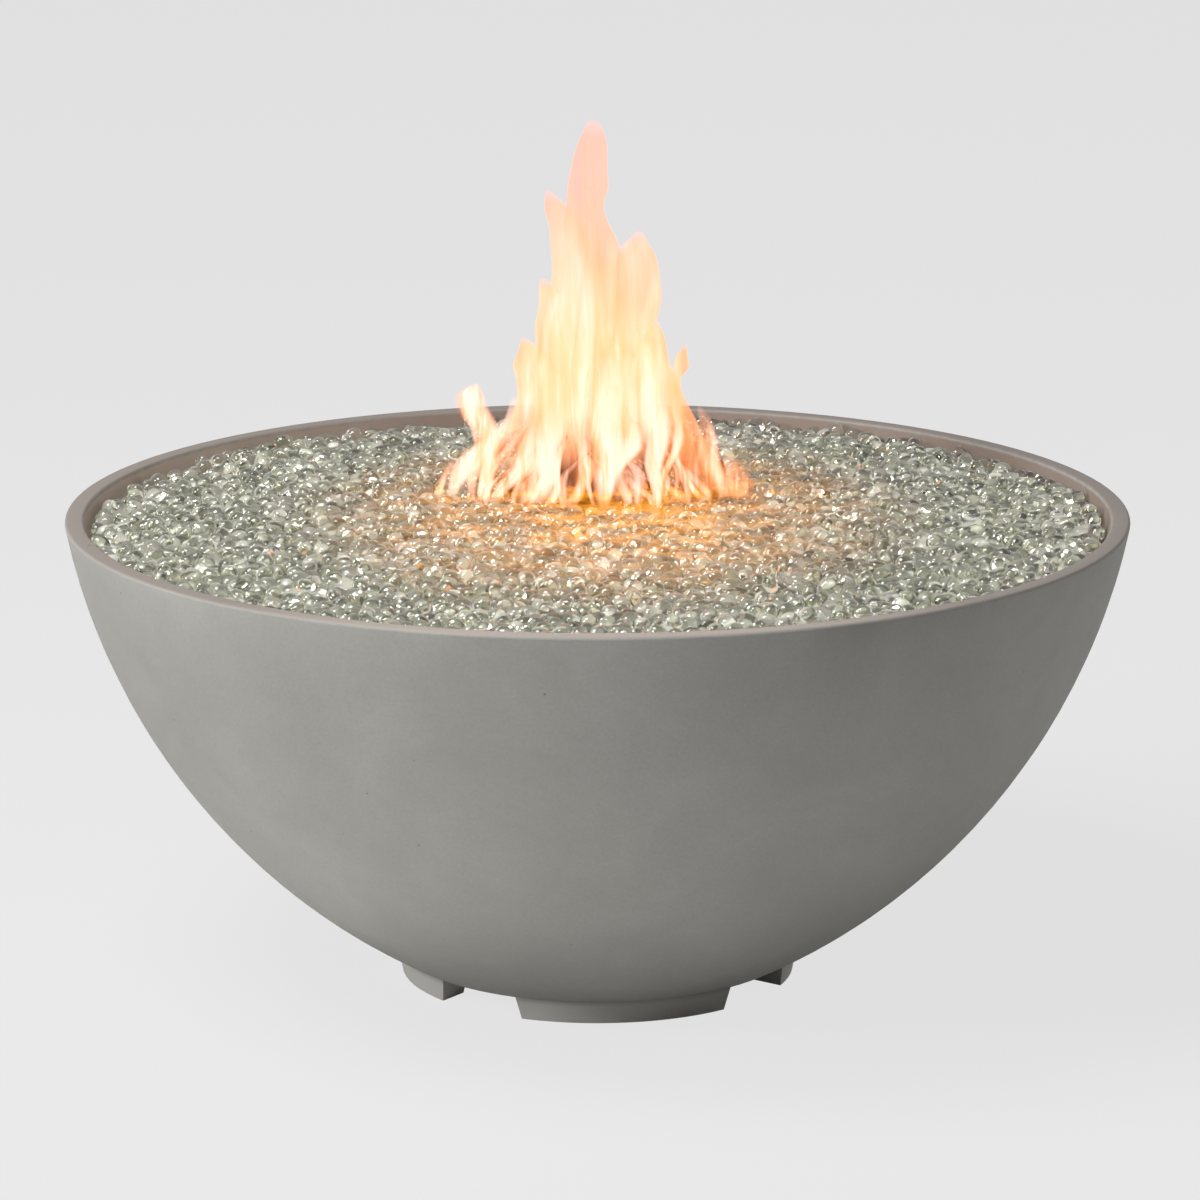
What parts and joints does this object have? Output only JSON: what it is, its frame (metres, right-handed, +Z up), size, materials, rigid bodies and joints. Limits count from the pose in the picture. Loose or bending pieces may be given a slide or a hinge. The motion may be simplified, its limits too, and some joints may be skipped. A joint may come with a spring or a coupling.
{
  "type": "gas fire pit bowl",
  "caption": "Round cast concrete fire bowl on low cast feet, with a drop-in ring burner under clear glass beads, and a gas valve and igniter in its back wall.",
  "frame": {"origin": "on the ground under the centre of the bowl", "axes": "+Z up, -Y towards the front that the picture shows, +Y towards the control panel in the back wall"},
  "size_m": [1.0656, 1.0658, 0.8633],
  "materials": {
    "cast_concrete": "smooth cast concrete, matt, with pinholes",
    "stainless_sheet": "brushed stainless steel",
    "clear_glass_beads": "clear fire glass, tumbled and polished",
    "burning_gas": "burning gas, self-lit",
    "burner_steel": "heat-tinted stainless tube",
    "black_iron": "malleable iron pipe fitting",
    "brass": "turned brass",
    "zinc_steel": "zinc plated steel",
    "black_phenolic": "moulded black phenolic",
    "red_button": "moulded plastic",
    "cell_jacket": "plain printed jacket",
    "silicone_lead": "high temperature silicone",
    "copper_lead": "soft copper tube",
    "alumina": "white glazed alumina"
  },
  "bodies": {
    "root": {"bowl": "cast_concrete", "burner_pan": "stainless_sheet", "glass_bed": "clear_glass_beads", "flame": "burning_gas", "outer_burner_ring": "burner_steel", "inner_burner_ring": "burner_steel", "burner_spokes": "burner_steel", "burner_hub": "burner_steel", "burner_saddles": "burner_steel", "pan_nipple": "black_iron", "pan_washer": "zinc_steel", "pan_locknut": "zinc_steel", "inlet_elbow": "black_iron", "air_mixer": "brass", "gas_jet": "brass", "burner_connector": "stainless_sheet", "supply_connector": "stainless_sheet", "connector_nuts": "brass", "control_panel": "stainless_sheet", "panel_screws": "zinc_steel", "valve_body": "brass", "valve_locknut": "brass", "knob_bezel": "stainless_sheet", "igniter_body": "black_phenolic", "igniter_locknut": "black_phenolic", "battery_cell": "cell_jacket", "ignition_lead": "silicone_lead", "spark_electrode": "burner_steel", "electrode_insulator": "alumina", "thermocouple": "burner_steel", "thermocouple_lead": "copper_lead", "sensor_brackets": "zinc_steel", "sensor_screws": "zinc_steel", "inlet_fitting": "brass", "inlet_locknut": "brass", "inlet_bracket": "zinc_steel", "bracket_bolts": "zinc_steel"},
    "valve_plug": {"valve_plug": "brass"},
    "control_knob": {"valve_stem": "zinc_steel", "control_knob": "black_phenolic"},
    "igniter_button": {"igniter_button": "red_button"}
  },
  "joints": [
    {"name": "knob_turn", "type": "hinge", "parent": "root", "child": "valve_plug", "pos_m": [0.036, 0.47404, 0.3], "axis": [0, 0.8915, -0.453], "range_deg": [-90, 0], "deforming": ["flame"]},
    {"name": "knob_press", "type": "slide", "parent": "valve_plug", "child": "control_knob", "axis": [0, -0.8915, 0.453], "range_m": [0, 0.004], "stiffness_N_per_m": 1200, "springref_m": -0.002},
    {"name": "igniter_press", "type": "slide", "parent": "root", "child": "igniter_button", "axis": [0, -0.8915, 0.453], "range_m": [0, 0.0035], "stiffness_N_per_m": 1500, "springref_m": -0.002}
  ]
}
